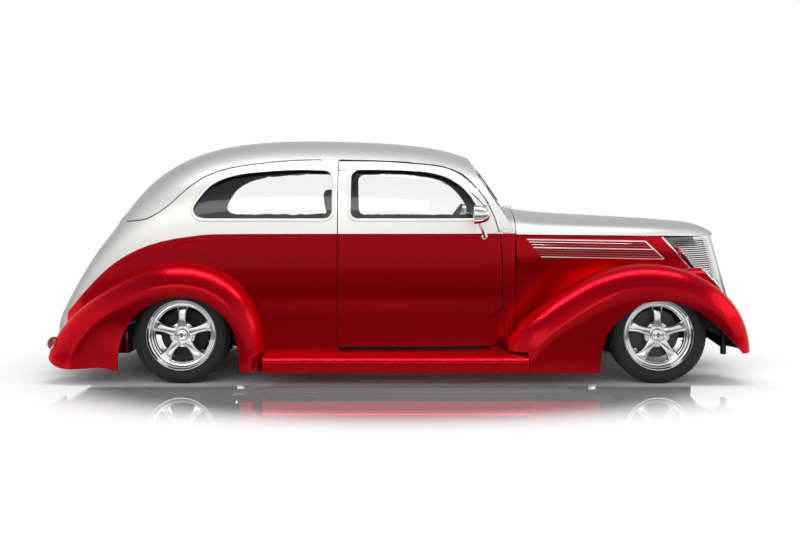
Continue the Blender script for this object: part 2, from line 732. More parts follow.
# ---------------------------------------------------------------- painted and plain nodes
NODE_FINISHES = {
    "Two-tone paint": ("roof", "cowl", "quarter_panel_right", "quarter_panel_left", "rear_panel",
                       "door_right", "door_left", "trunk_lid"),
    "Pearl paint": ("hood_top", "dashboard"),
    "Candy red paint": ("hood_sides", "front_fender_right", "front_fender_left",
                        "rear_fender_right", "rear_fender_left", "running_boards", "headlamps"),
    "Chrome": ("grille",),
    "Window glass": ("body_glass", "door_glass_right", "door_glass_left"),
    "Chassis black": ("frame_rails", "frame_crossmembers", "front_suspension", "rear_axle",
                      "fuel_tank"),
    "Cast iron": ("knuckle_right", "knuckle_left"),
    "Engine enamel": ("engine",),
    "Brushed stainless": ("exhaust",),
    "Carpet": ("floor_pan",),
    "Leather": ("steering_wheel",),
    "Red lens": ("tail_lamps",),
}


class SEDAN_OT_paint_body(DressOperator, bpy.types.Operator):
    """Gives every shown CAD node its paint, metal, glass or trim"""
    bl_idname = "sedan.paint_body"
    bl_label = "Paint the body"

    def dress(self, context):
        for make in (make_speckle, make_ripple, make_grain, make_road_film, make_weave,
                     make_colour_break):
            make()
        for name, members in NODE_FINISHES.items():
            for member in members:
                slots = nodes[member].data.materials
                slots.clear()
                slots.append(finish(name))


# ---------------------------------------------------------------- wheels
# Radius of a tyre's outline from bead to shoulder, and how far in from its side it lies there.
TYRE_WALL = (
    (0.200, 0.020), (0.2045, 0.012), (0.211, 0.0065), (0.2165, 0.005), (0.218, 0.003),
    (0.221, 0.003), (0.2225, 0.0022), (0.236, 0.0004), (0.2475, 0), (0.249, 0.0016),
    (0.2515, 0.0016), (0.253, 0.0006), (0.264, 0.003), (0.2725, 0.0075), (0.2785, 0.014),
)
# Height of the tread blocks, fall of the tread to its shoulders, and their distance from the side.
TREAD_BLOCK, TREAD_FALL, TREAD_SHOULDER, TREAD_RIBS = 0.006, 0.0028, 0.021, 6
# Half-width of the gaps between blocks, and depth of the band that the blocks are raised from.
TREAD_GAP, TREAD_BAND = 0.0022, 0.012
# Share of the way out, half-width, half-thickness and outward reach of a spoke's sections.
SPOKE = (
    (0.00, 0.030, 0.014, 0.046), (0.18, 0.0250, 0.015, 0.048), (0.40, 0.0215, 0.0160, 0.047),
    (0.62, 0.0235, 0.0165, 0.044), (0.82, 0.0300, 0.016, 0.038), (0.95, 0.0370, 0.015, 0.031),
    (1.04, 0.0400, 0.014, 0.027),
)
# Outlines of turned parts, as (radius, height).
HUB = (
    (0.0185, 0.012), (0.0185, 0.050), (0.052, 0.051), (0.058, 0.047), (0.071, 0.044),
    (0.076, 0.039), (0.077, 0.030), (0.072, 0.012),
)
CAP = (
    (0, 0.048), (0, 0.0745), (0.012, 0.0742), (0.0135, 0.0728), (0.024, 0.0718),
    (0.0255, 0.0700), (0.031, 0.0690), (0.0355, 0.0655), (0.0375, 0.060), (0.0385, 0.0495),
    (0.041, 0.0485), (0.041, 0.048),
)
NUT_DOME = ((0, -0.006), (0, 0.0115), (0.004, 0.0112), (0.0075, 0.0085), (0.0085, -0.006))
NUT_SEAT = (
    (0.0090, -0.008), (0.0165, -0.008), (0.0165, -0.0045), (0.0115, -0.0035), (0.0090, -0.0035),
)
VALVE = (
    (0, -0.012), (0, 0.024), (0.003, 0.024), (0.0036, 0.016), (0.0026, 0.012), (0.0026, 0),
    (0.005, -0.004), (0.005, -0.012),
)
# Distance of the nuts and of the valve's foot out from the wheel's middle, and the valve's place.
NUT_REACH, VALVE_REACH, VALVE_PLACE = 0.054, 0.036, Vector((0.155, 0, -0.04))


def wheel_centre(name):
    low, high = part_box(f"tyre_{name}")
    return (low + high) / 2


def each_wheel():
    """Name, side and centre of every wheel."""
    for axle_name in AXLES:
        for side_name, side in SIDES:
            name = f"{axle_name}_{side_name}"
            yield name, side, wheel_centre(name)


class SEDAN_OT_tyres(DressOperator, bpy.types.Operator):
    """Tyres with ribbed side walls and blocks of tread"""
    bl_idname = "sedan.tyres"
    bl_label = "Tyres"

    def dress(self, context):
        wheels = context.scene.sedan_wheels
        top, half = wheels.tyre_radius, wheels.tyre_half
        crown_half = half - TREAD_SHOULDER
        wall = [(radius, half - inset) for radius, inset in TYRE_WALL]
        wall.append((top - TREAD_BLOCK - TREAD_FALL, crown_half))
        reaches = [crown_half * (1 - 2 * i / TREAD_RIBS) for i in range(1, TREAD_RIBS)]
        crown = [(top - TREAD_BLOCK - TREAD_FALL * (reach / crown_half) ** 2, reach)
                 for reach in reaches]
        profile = wall + crown + [(radius, -reach) for radius, reach in reversed(wall)]
        for name, side, centre in each_wheel():
            bm = bmesh.new()
            turned(bm, profile, axle(centre, (0, side, 0)), wheels.blocks)
            bmesh.ops.recalc_face_normals(bm, faces=bm.faces)
            tread = []
            for face in bm.faces:
                spot = face.calc_center_median() - centre
                if abs(spot.y) < crown_half and sqrt(spot.x ** 2 + spot.z ** 2) > top - TREAD_BAND:
                    tread.append(face)
            bmesh.ops.inset_individual(bm, faces=tread, thickness=TREAD_GAP,
                                       depth=TREAD_BLOCK - 0.0003, use_even_offset=True)
            tyre = piece(bm, f"road_tyre_{name}", "Tyre rubber", f"wheel_{name}")
            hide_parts(f"tyre_{name}")


def spoke(bm, centre, side, turn, wheels):
    """One tapered, crowned spoke that widens into the barrel and the hub."""
    root, tip = wheels.spoke_root, wheels.spoke_tip
    ahead, out = Vector((sin(turn), 0, cos(turn))), Vector((0, side, 0))
    points = [centre + ahead * (root + (tip - root) * share) + out * reach
              for share, _, _, reach in SPOKE]
    scales = [(wide, thick) for _, wide, thick, _ in SPOKE]
    swept(bm, oval(1, 1, 16, 0.62), along(points, out, scales=scales))


class SEDAN_OT_rims(DressOperator, bpy.types.Operator):
    """Five-spoke polished wheels with stepped lips, nuts, caps and valves"""
    bl_idname = "sedan.rims"
    bl_label = "Wheels"

    def dress(self, context):
        wheels = context.scene.sedan_wheels
        lip, half = wheels.lip_radius, wheels.rim_half
        barrel = [
            (lip, half), (lip, half - 0.006), (0.203, half - 0.009), (0.199, 0.070),
            (0.195, 0.050), (0.181, 0.030), (0.178, -0.020), (0.195, -0.045), (0.200, -0.074),
            (lip, -half + 0.006), (lip, -half), (0.205, -half), (0.196, -0.070), (0.191, -0.042),
            (0.172, -0.016), (0.166, 0.010), (0.165, 0.026), (0.168, 0.032), (0.1725, 0.034),
            (0.1745, 0.044), (0.1765, 0.047), (0.186, 0.050), (0.1885, 0.062), (0.191, 0.065),
            (0.198, 0.068), (0.2015, half - 0.006), (0.204, half),
        ]
        for name, side, centre in each_wheel():
            body = f"wheel_{name}"
            out = Vector((0, side, 0))
            place = axle(centre, out)
            bm = bmesh.new()
            turned(bm, barrel, place, 96)
            turned(bm, HUB, place, 64)
            for i in range(wheels.spokes):
                spoke(bm, centre, side, 2 * pi * i / wheels.spokes, wheels)
            rim = piece(bm, f"five_spoke_wheel_{name}", "Polished alloy", body)
            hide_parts(f"rim_{name}")
            bm = bmesh.new()
            turned(bm, CAP, place, 48)
            piece(bm, f"centre_cap_{name}", "Chrome", body)
            bm = bmesh.new()
            for i in range(wheels.spokes):
                turn = 2 * pi * (i + 0.5) / wheels.spokes
                spot = centre + Vector((sin(turn), 0, cos(turn))) * wheels.stud_radius
                nut = axle(spot + out * NUT_REACH, out)
                bmesh.ops.create_cone(bm, cap_ends=True, segments=6, radius1=0.0108,
                                      radius2=0.0100, depth=0.018, matrix=nut)
                turned(bm, NUT_DOME, nut, 12)
                turned(bm, NUT_SEAT, nut, 20)
            stem = centre + VALVE_PLACE + out * VALVE_REACH
            turned(bm, VALVE, axle(stem, (0.25, side, 0)), 12)
            piece(bm, f"wheel_nuts_{name}", "Chrome", body, bevel=0.0008)


# ---------------------------------------------------------------- bright trim and mouldings
# Ends (x, z) of the top and the lowest bar beside the hood.
HOOD_TOP_BAR, HOOD_FOOT_BAR = ((0.772, 0.855), (1.530, 0.836)), ((0.859, 0.748), (1.656, 0.722))
# How far below a bar's lower edge its shadow groove runs.
GROOVE_DROP = 0.0028
# Share of the way down and thickness of each level bar.
HOOD_BARS = (
    (0, 0.8), (0.15, 0.18), (0.30, 0.18), (0.46, 0.8), (0.60, 0.18), (0.73, 0.18), (0.86, 0.18),
    (1, 0.8),
)
# Distance of the bead below the belt, and the x of its two ends.
BEAD_DROP, BEAD_REAR, BEAD_FRONT = 0.024, -1.90, 0.578
# Line of the grille's surround on the side of the hood.
GRILLE_EDGE = ((1.645, 0.858), (1.697, 0.806), (1.748, 0.755), (1.800, 0.703), (1.842, 0.661))
# Where the moulding down the grille's prow starts.
PROW_TOP_X = 2.0455
# Section of the rubber channel that lines a side window's hole.
WINDOW_CHANNEL = ((-0.0006, -0.010), (0.0045, -0.011), (0.0050, -0.044), (-0.0006, -0.0455))
# Outline of a windshield pane in its own plane, and of a rear pane seen from behind.
SCREEN_PANE = (
    (0.026, 0.060), (0.030, 0.045), (0.060, 0.042), (0.280, 0.042), (0.490, 0.042),
    (0.508, 0.052), (0.498, 0.090), (0.480, 0.148), (0.424, 0.214), (0.366, 0.254),
    (0.200, 0.262), (0.050, 0.269), (0.026, 0.258), (0.026, 0.160),
)
REAR_PANE = (
    (0.028, 1.110), (0.026, 1.180), (0.030, 1.236), (0.160, 1.232), (0.300, 1.196),
    (0.318, 1.150), (0.290, 1.114), (0.160, 1.104),
)


class SEDAN_OT_hood_trim(DressOperator, bpy.types.Operator):
    """Bright strips and louvre bars on the sides of the hood"""
    bl_idname = "sedan.hood_trim"
    bl_label = "Hood side trim"

    def dress(self, context):
        half = context.scene.sedan_trim.strip
        skin = Skin("hood_sides")
        bm, shadow = bmesh.new(), bmesh.new()
        for _, side in SIDES:
            for share, weight in HOOD_BARS:
                ends = [Vector(a).lerp(Vector(b), share)
                        for a, b in zip(HOOD_TOP_BAR, HOOD_FOOT_BAR)]
                line = between(*ends, 16)
                bar = oval(half * weight, 0.005 * (0.5 + 0.5 * weight), 10, 0.7)
                skin.lay(bm, bar, line, side, 0.001)
                if share < 1:
                    low = [(x, z - half * weight - GROOVE_DROP) for x, z in line]
                    skin.lay(shadow, oval(0.0022, 0.0012, 8, 0.7), low, side, -0.0004)
            line = between(HOOD_TOP_BAR[1], HOOD_FOOT_BAR[1], 4)
            skin.lay(bm, oval(half, 0.005, 10, 0.7), line, side, 0.001)
        piece(shadow, "hood_side_grooves", "Moulded rubber")
        piece(bm, "hood_side_strips", "Chrome")


class SEDAN_OT_grille_trim(DressOperator, bpy.types.Operator):
    """Bright surround of the grille and the moulding on its centre"""
    bl_idname = "sedan.grille_trim"
    bl_label = "Grille surround"

    def dress(self, context):
        bm = bmesh.new()
        skin = Skin("hood_sides")
        for _, side in SIDES:
            skin.lay(bm, oval(0.008, 0.006, 10, 0.7), GRILLE_EDGE, side, 0.0015)
        low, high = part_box("grille")
        prow = between((PROW_TOP_X, 0, high.z + 0.002), (high.x + 0.001, 0, low.z), 6)
        swept(bm, oval(0.011, 0.006, 12, 0.8), along(prow, Vector((1, 0, 0.1))))
        piece(bm, "grille_surround", "Chrome")


class SEDAN_OT_mouldings(DressOperator, bpy.types.Operator):
    """Pressed bead below the belt and the drip rail along the roof"""
    bl_idname = "sedan.mouldings"
    bl_label = "Mouldings"

    def dress(self, context):
        trim = context.scene.sedan_trim
        door_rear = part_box("door_right")[0].x
        for name, side in SIDES:
            for node, body, start_x, end_x in (
                    (f"quarter_panel_{name}", "root", BEAD_REAR, door_rear - 0.012),
                    (f"door_{name}", f"door_{name}", door_rear + 0.006, BEAD_FRONT)):
                bm = bmesh.new()
                line = belt_line(start_x, end_x, BEAD_DROP)
                Skin(node).lay(bm, oval(trim.bead, 0.003, 10), line, side, -0.0012)
                piece(bm, f"belt_bead_{node}", "Candy red paint", body)
            roof = Skin("roof", f"quarter_panel_{name}", f"door_{name}")
            for label, shape, rise, material in (
                    ("drip_rail", oval(trim.rail, 0.0036, 10, 0.8), 0.004, "Pearl paint"),
                    ("drip_gap", oval(0.0036, 0.0016, 8, 0.8), -0.0020, "Moulded rubber")):
                bm = bmesh.new()
                line = [(x, z + rise) for x, z in flat_run(DRIP, 4, False)]
                roof.lay(bm, shape, line, side)
                piece(bm, f"{label}_{name}", material)


class SEDAN_OT_side_windows(DressOperator, bpy.types.Operator):
    """Raised reveals and rubber channels of the side windows"""
    bl_idname = "sedan.side_windows"
    bl_label = "Side window frames"

    def dress(self, context):
        width = context.scene.sedan_trim.reveal
        for name, side in SIDES:
            for node, body, outline in (
                    (f"door_{name}", f"door_{name}", DOOR_LIGHT),
                    (f"quarter_panel_{name}", "root", QUARTER_LIGHT)):
                skin = Skin(node)
                edge = flat_run(outline, 3)
                bm = bmesh.new()
                skin.lay(bm, oval(width / 2, 0.0040, 12, 0.9), shifted(edge, width * 0.62), side,
                         -0.0008, True)
                piece(bm, f"window_reveal_{node}", "Pearl paint", body)
                beside, _ = skin.follow(shifted(edge, 0.004), side)
                rim = [Vector((x, point.y, z)) for (x, z), point in zip(edge, beside)]
                turn = turning(edge) * side
                bm = bmesh.new()
                swept(bm, [(turn * a, b) for a, b in WINDOW_CHANNEL],
                      along(rim, Vector((0, side, 0)), True), True)
                piece(bm, f"window_channel_{node}", "Moulded rubber", body)


def screen_place(side, depth):
    """Place on the windshield: X to the left along the glass, Y up it, Z out of it."""
    lean = atan2(POST_HEAD[1] - POST_FOOT[1], POST_HEAD[0] - POST_FOOT[0])
    normal = Vector((sin(lean), 0, -cos(lean)))
    face = normal * cos(SCREEN_SWEEP) + Vector((0, side, 0)) * sin(SCREEN_SWEEP)
    level = Vector((0, 1, 0)) * cos(SCREEN_SWEEP) - normal * side * sin(SCREEN_SWEEP)
    foot = Vector((POST_FOOT[0], 0, POST_FOOT[1])) - face * depth
    return stand(foot, level, face.cross(level), face)


class SEDAN_OT_screens(DressOperator, bpy.types.Operator):
    """Rubber and bright seals of the windshield, and rubber seals of the rear windows"""
    bl_idname = "sedan.screens"
    bl_label = "Windshield and rear window seals"

    def dress(self, context):
        rubber, bright = bmesh.new(), bmesh.new()
        for _, side in SIDES:
            place = screen_place(side, 0.004)
            out = place.to_3x3().col[2].copy()
            points = [place @ Vector((side * x, y, 0)) for x, y in flat_run(SCREEN_PANE, 3)]
            swept(rubber, oval(0.0085, 0.010, 10, 0.8), along(points, out, True), True)
            points = [point + out * 0.009 for point in points]
            swept(bright, oval(0.0030, 0.0022, 8), along(points, out, True), True)
        roof = Skin("roof", "body_glass")
        for _, side in SIDES:
            points, outs = zip(*(roof.behind(side * y, z)
                                 for y, z in shifted(flat_run(REAR_PANE, 4), 0.009)))
            swept(rubber, oval(0.0085, 0.0016, 10, 0.8), along(points, outs, True), True)
        piece(rubber, "screen_rubbers", "Moulded rubber")
        piece(bright, "screen_brights", "Chrome")


# ---------------------------------------------------------------- lamps, mirrors, handles
# Outlines of turned parts, as (radius, height).
LAMP_RING = (
    (0.0700, -0.004), (0.0785, -0.004), (0.0795, 0.003), (0.0760, 0.0085), (0.0715, 0.0070),
    (0.0690, 0.001),
)
LAMP_LENS = (
    (0, 0.036), (0.020, 0.0345), (0.040, 0.0295), (0.055, 0.0215), (0.066, 0.0110),
    (0.0705, 0.0030), (0.0705, 0.0010), (0.0640, 0.0090), (0.0535, 0.0190), (0.0390, 0.0268),
    (0.020, 0.0316), (0, 0.0330),
)
LAMP_BOWL = (
    (0, 0.0005), (0.070, 0.0005), (0.070, 0.0012), (0.050, 0.0018), (0.030, 0.0012),
    (0.016, 0.0030), (0.012, 0.0085), (0, 0.0090),
)
MIRROR_SHELL = (
    (0, 0.092), (0.018, 0.090), (0.034, 0.081), (0.046, 0.063), (0.053, 0.040),
    (0.0565, 0.012), (0.0565, -0.002), (0.0540, -0.006), (0.0515, -0.002), (0.049, 0.004),
    (0, 0.006),
)
MIRROR_GLASS = ((0, -0.0035), (0.0500, -0.0035), (0.0508, -0.0015), (0.0500, 0.003), (0, 0.004))
MIRROR_FOOT = (
    (0, -0.004), (0, 0.014), (0.012, 0.013), (0.019, 0.008), (0.023, 0.001), (0.023, -0.004),
)
HANDLE_POST = (
    (0, -0.003), (0, 0.026), (0.006, 0.026), (0.008, 0.018), (0.011, 0.010), (0.018, 0.004),
    (0.019, -0.003),
)
EXHAUST_TIP = ((0.0300, 0.0), (0.0320, -0.002), (0.0335, 0.110), (0.0290, 0.112), (0.0285, 0.0))
TAIL_RING = (
    (0.0365, 0.002), (0.0365, -0.004), (0.0430, -0.004), (0.0438, 0.001), (0.0420, 0.004),
    (0.0390, 0.004),
)
# Places (x, distance from the middle, z) of a headlamp and a mirror, and a headlamp's direction.
LAMP_PLACE, LAMP_FACE = (1.890, 0.606, 0.606), Vector((0.77, 0, 0.64)).normalized()
MIRROR_PLACE = (0.446, 0.762, 1.010)
# Path (x, distance from the middle, z) of a mirror's stalk.
MIRROR_STALK = (
    (0.512, 0.634, 0.872), (0.508, 0.672, 0.880), (0.494, 0.718, 0.912), (0.472, 0.752, 0.962),
    (0.470, 0.760, 0.992),
)
# Place (x, z) of the stalk's foot on the door.
STALK_FOOT = (0.512, 0.873)
# Share of the half-length, width and thickness of the trunk handle's sections.
HANDLE = (
    (-1, 0.7, 0.8), (-0.7, 0.95, 0.95), (-0.35, 1, 1), (0, 1.15, 1.1), (0.35, 1, 1),
    (0.7, 0.95, 0.95), (1, 0.7, 0.8),
)
# Height of the trunk handle, half of its length, how far its middle stands off, and its bow.
HANDLE_Z, HANDLE_HALF, HANDLE_REACH, HANDLE_BOW = 0.540, 0.056, 0.028, 0.006
# Places (distance from the middle, z) of an exhaust tip and of a tail lamp's ring.
TIP_PLACE, TAIL_PLACE = (0.230, 0.150), (0.700, 0.235)


class SEDAN_OT_headlamps(DressOperator, bpy.types.Operator):
    """Headlamp rings, reflectors and fluted lenses set into the fender pods"""
    bl_idname = "sedan.headlamps"
    bl_label = "Headlamps"

    def dress(self, context):
        # The lamps look round from ahead, so they are taller in their own plane.
        rise = Vector((-LAMP_FACE.z, 0, LAMP_FACE.x)) * (1 / LAMP_FACE.x)
        x, y, z = LAMP_PLACE
        for name, profile, material in (
                ("headlamp_rings", LAMP_RING, "Chrome"),
                ("headlamp_lenses", LAMP_LENS, "Lamp glass"),
                ("headlamp_reflectors", LAMP_BOWL, "Polished alloy")):
            bm = bmesh.new()
            for _, side in SIDES:
                turned(bm, profile, stand((x, side * y, z), rise, LEFT, LAMP_FACE))
            piece(bm, name, material)


class SEDAN_OT_mirrors(DressOperator, bpy.types.Operator):
    """Door mirrors on curved stalks"""
    bl_idname = "sedan.mirrors"
    bl_label = "Door mirrors"

    def dress(self, context):
        for name, side in SIDES:
            body = f"door_{name}"
            x, y, z = MIRROR_PLACE
            place = axle((x, side * y, z), AHEAD)
            bm = bmesh.new()
            turned(bm, MIRROR_SHELL, place, 48)
            run = smooth_run([(x, side * y, z) for x, y, z in MIRROR_STALK], 5)
            scales = [(1.5 - 0.5 * min(1, i / 5),) * 2 for i in range(len(run))]
            swept(bm, oval(0.0085, 0.0075, 12), along(run, Vector((1, 0, 0.2)), scales=scales))
            turned(bm, MIRROR_FOOT, axle(*Skin(body).beside(*STALK_FOOT, side)), 32)
            shell = piece(bm, f"door_mirror_{name}", "Chrome", body)
            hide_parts(f"mirror_{name}")
            bm = bmesh.new()
            turned(bm, MIRROR_GLASS, place, 48)
            piece(bm, f"mirror_glass_{name}", "Chrome", body)


class SEDAN_OT_tail(DressOperator, bpy.types.Operator):
    """Tail lamp rings, trunk handle and exhaust tips"""
    bl_idname = "sedan.tail"
    bl_label = "Tail fittings"

    def dress(self, context):
        hit, out = Skin("trunk_lid").behind(0, HANDLE_Z)
        bm = bmesh.new()
        turned(bm, HANDLE_POST, axle(hit, out), 32)
        grip = [hit + out * (HANDLE_REACH - HANDLE_BOW * t * t) + LEFT * HANDLE_HALF * t
                for t, _, _ in HANDLE]
        scales = [section[1:] for section in HANDLE]
        swept(bm, oval(0.0095, 0.0062, 14), along(grip, out, scales=scales))
        piece(bm, "trunk_handle", "Chrome", "trunk_lid", bevel=0.001)
        tips, rings = bmesh.new(), bmesh.new()
        tip_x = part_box("exhaust")[0].x - 0.004
        for name, side in SIDES:
            y, z = TIP_PLACE
            turned(tips, EXHAUST_TIP, axle((tip_x, side * y, z), AHEAD), 40)
            y, z = TAIL_PLACE
            place = axle(*Skin(f"rear_fender_{name}").behind(side * y, z))
            turned(rings, TAIL_RING, place, 48)
        piece(tips, "exhaust_tips", "Chrome")
        piece(rings, "tail_lamp_rings", "Chrome")


# ---------------------------------------------------------------- cabin
def inner_skin(name, node, body, material, outward, limit=-0.3, lift=0.0015):
    """Copy of the faces of a node that look inwards; outward gives a place's outward way."""
    bm = bmesh.new()
    bm.from_mesh(nodes[node].data)
    bmesh.ops.remove_doubles(bm, verts=bm.verts, dist=1e-5)
    spare = []
    for face in bm.faces:
        way = outward(face.calc_center_median())
        if way is None or face.normal.dot(way.normalized()) > limit:
            spare.append(face)
    bmesh.ops.delete(bm, geom=spare, context="FACES")
    loose = [vert for vert in bm.verts if not vert.link_faces]
    bmesh.ops.delete(bm, geom=loose, context="VERTS")
    bm.normal_update()
    for vert in bm.verts:
        vert.co += vert.normal * lift
    return fitted(bm, name, material, body)


# Height above which the way out of the cabin tilts upwards.
TILT_Z = 0.95


def cabin_outward(floor_z):
    """Function that gives the way out of the cabin at a place, or none below the floor."""
    def way(spot):
        out = Vector((0, spot.y, max(0.0, spot.z - TILT_Z)))
        return out if spot.z > floor_z and out.length > 1e-4 else None
    return way


class SEDAN_OT_linings(DressOperator, bpy.types.Operator):
    """Headlining, door trims and side trims"""
    bl_idname = "sedan.linings"
    bl_label = "Cabin linings"

    def dress(self, context):
        rows = [("headlining", "roof", "root", 0.9)]
        for name, _ in SIDES:
            rows += [(f"side_trim_{name}", f"quarter_panel_{name}", "root", 0.24),
                     (f"door_trim_{name}", f"door_{name}", f"door_{name}", 0.24)]
        for name, node, body, floor_z in rows:
            inner_skin(name, node, body, "Lining cloth", cabin_outward(floor_z))


# Name, measures, corner, place of the right or only pad, lean in degrees, way that its sewn
# channels face, node that it covers and how full it is.
PADS = (
    ("front_cushions", (0.47, 0.43, 0.12), 0.03, (-0.165, -0.315, 0.395), -3, UP,
     "front_seats", 0.7),
    ("front_backrests", (0.095, 0.42, 0.60), 0.03, (-0.385, -0.315, 0.745), -7, AHEAD,
     "front_seats", 0.7),
    ("front_headrests", (0.065, 0.24, 0.15), 0.026, (-0.438, -0.315, 1.085), -8, AHEAD * 0,
     "front_seats", 0.8),
    ("rear_cushion", (0.38, 0.93, 0.13), 0.035, (-0.800, 0, 0.390), -3, UP, "rear_seat", 0.7),
    ("rear_backrest", (0.11, 0.93, 0.46), 0.035, (-1.105, 0, 0.720), -12, AHEAD,
     "rear_seat", 0.7),
)
# Place and measures of the base under each seat.
SEAT_BASES = (
    ((-0.16, -0.315, 0.275), (0.42, 0.40, 0.10)), ((-0.16, 0.315, 0.275), (0.42, 0.40, 0.10)),
    ((-0.775, 0, 0.272), (0.24, 0.92, 0.095)),
)
# Furthest that a puffed pad's points move, and depth and width of its seams.
PUFF_LIMIT, SEAM_DEPTH, SEAM_WIDTH = 0.024, 0.010, 0.009


def pad_form(measures, corner, centre, lean):
    """Rounded block that a cushion starts from, turned about Y."""
    bm = bmesh.new()
    bmesh.ops.create_cube(bm, size=1.0)
    bmesh.ops.scale(bm, vec=measures, verts=bm.verts)
    bmesh.ops.bevel(bm, geom=list(bm.edges), offset=corner, offset_type="OFFSET", affect="EDGES",
                    segments=4, profile=0.5, material=-1)
    place = Matrix.Translation(centre) @ Matrix.Rotation(radians(lean), 4, "Y")
    bmesh.ops.transform(bm, matrix=place, verts=bm.verts)
    return bm


def bake(made):
    """Apply every modifier of a piece to its mesh."""
    evaluated = made.evaluated_get(bpy.context.evaluated_depsgraph_get())
    mesh = bpy.data.meshes.new_from_object(evaluated)
    made.modifiers.clear()
    made.data = mesh


def inflate(made):
    """Puff a pad with a short cloth simulation and limit how far a point moves."""
    remesh = made.modifiers.new("Even faces", "REMESH")
    remesh.mode = "VOXEL"
    remesh.voxel_size = 0.007
    bake(made)
    rest = [vert.co.copy() for vert in made.data.vertices]
    cloth = made.modifiers.new("Stuffing", "CLOTH")
    cloth.settings.use_pressure = True
    cloth.settings.uniform_pressure_force = 4
    cloth.settings.effector_weights.gravity = 0
    for step in range(1, 21):
        bpy.context.scene.frame_set(step)
    bake(made)
    bpy.context.scene.frame_set(1)
    for vert, before in zip(made.data.vertices, rest):
        move = vert.co - before
        if move.length > PUFF_LIMIT:
            vert.co = before + move.normalized() * PUFF_LIMIT


def stitch_channels(made, pitch, offset, way):
    """Press sewn channels into the pad where its faces look along a way."""
    made.data.update()
    normals = [vert.normal.copy() for vert in made.data.vertices]
    for vert, normal in zip(made.data.vertices, normals):
        facing = max(0.0, normal.dot(way))
        phase = ((vert.co.y - offset) / pitch) % 1.0
        gap = min(phase, 1 - phase) * pitch
        vert.co -= normal * SEAM_DEPTH * facing * exp(-(gap / SEAM_WIDTH) ** 2)


class SEDAN_OT_seats(DressOperator, bpy.types.Operator):
    """Stuffed front seats and rear bench on their bases"""
    bl_idname = "sedan.seats"
    bl_label = "Seats"

    def dress(self, context):
        pleat = context.scene.sedan_cabin.pleat
        for name, measures, corner, (x, y, z), lean, way, covers, fill in PADS:
            bm = bmesh.new()
            for index, across in enumerate((y, -y) if y else (0,)):
                pad = shown(pad_form(measures, corner, (x, across, z), lean), f"{name}_{index}")
                inflate(pad)
                stitch_channels(pad, pleat, across, way)
                bm.from_mesh(pad.data)
                bpy.data.objects.remove(pad)
            made = fitted(bm, name, "Leather")
            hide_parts(covers)
        bm = bmesh.new()
        for place, measures in SEAT_BASES:
            block(bm, place, *measures)
        piece(bm, "seat_bases", "Carpet", bevel=0.012)


# Distance from the middle and radius of each dial, and the height of them all.
GAUGES = ((0.30, 0.048), (0.42, 0.048), (0.36, 0.030), (0.0, 0.038), (0.10, 0.026), (-0.10, 0.026))
GAUGE_Z = 0.886
GAUGE_RING = ((0, -0.002), (0.006, -0.002), (0.005, 0.008), (0.001, 0.010), (-0.001, 0.004))
LEVER = ((0.10, 0, 0.215), (0.11, 0, 0.33), (0.08, 0, 0.46), (0.075, 0, 0.52))
LEVER_KNOB = (
    (0, -0.022), (0.010, -0.022), (0.020, -0.010), (0.024, 0.004), (0.020, 0.018),
    (0.008, 0.026), (0, 0.027),
)
LEVER_BOOT = (
    (0, -0.01), (0.055, -0.01), (0.052, 0.004), (0.030, 0.022), (0.012, 0.045), (0, 0.05),
)
HORN_BUTTON = (
    (0, 0.006), (0, 0.020), (0.012, 0.0195), (0.024, 0.016), (0.032, 0.010), (0.036, 0.004),
    (0.036, 0.0),
)
# Places that the lever's knob and boot are drawn from.
KNOB_PLACE, BOOT_PLACE = (0.075, 0, 0.535), (0.10, 0, 0.235)
# Middle of the steering wheel and the lean of its shaft.
WHEEL_HUB, SHAFT_LEAN = Vector((0.33, 0.36, 0.89)), radians(30)


def dial_mark(bm, dial, turn, centre, length, width):
    """Flat mark on a dial, turned about the dial's middle."""
    place = dial @ Matrix.Rotation(radians(turn), 4, "Z") @ Matrix.Translation(centre)
    block(bm, place, length, width, 0.0006)


class SEDAN_OT_dash_fittings(DressOperator, bpy.types.Operator):
    """Gauges, horn button and shift lever"""
    bl_idname = "sedan.dash_fittings"
    bl_label = "Dash fittings"

    def dress(self, context):
        bright, dark, marks = bmesh.new(), bmesh.new(), bmesh.new()
        front = Skin("dashboard")
        for y, radius in GAUGES:
            hit, _ = front.look((0.2, y, GAUGE_Z), AHEAD, (0.6, y, GAUGE_Z))
            dial = axle(hit, -AHEAD)
            turned(bright, [(radius + a, b) for a, b in GAUGE_RING], dial, 40)
            turned(dark, [(0, 0.0005), (radius, 0.0005), (radius, 0.003), (0, 0.003)], dial, 40)
            for i in range(9):
                dial_mark(marks, dial, -120 + 30 * i, (radius * 0.8, 0, 0.0034), radius * 0.2,
                          0.0016)
            dial_mark(marks, dial, -40, (radius * 0.3, 0, 0.0042), radius * 0.8, 0.0018)
        piece(bright, "gauge_rings", "Chrome")
        piece(dark, "gauge_faces", "Moulded rubber")
        piece(marks, "gauge_marks", "Polished alloy")
        bm = bmesh.new()
        swept(bm, oval(0.007, 0.007, 12), along(smooth_run(LEVER, 5), AHEAD))
        turned(bm, LEVER_KNOB, Matrix.Translation(KNOB_PLACE), 32)
        turned(bm, LEVER_BOOT, Matrix.Translation(BOOT_PLACE), 40)
        piece(bm, "shift_lever", "Moulded rubber")
        bm = bmesh.new()
        toward = Vector((-cos(SHAFT_LEAN), 0, sin(SHAFT_LEAN)))
        turned(bm, HORN_BUTTON, axle(WHEEL_HUB + toward * 0.002, toward), 40)
        piece(bm, "horn_button", "Chrome", "steering_wheel")


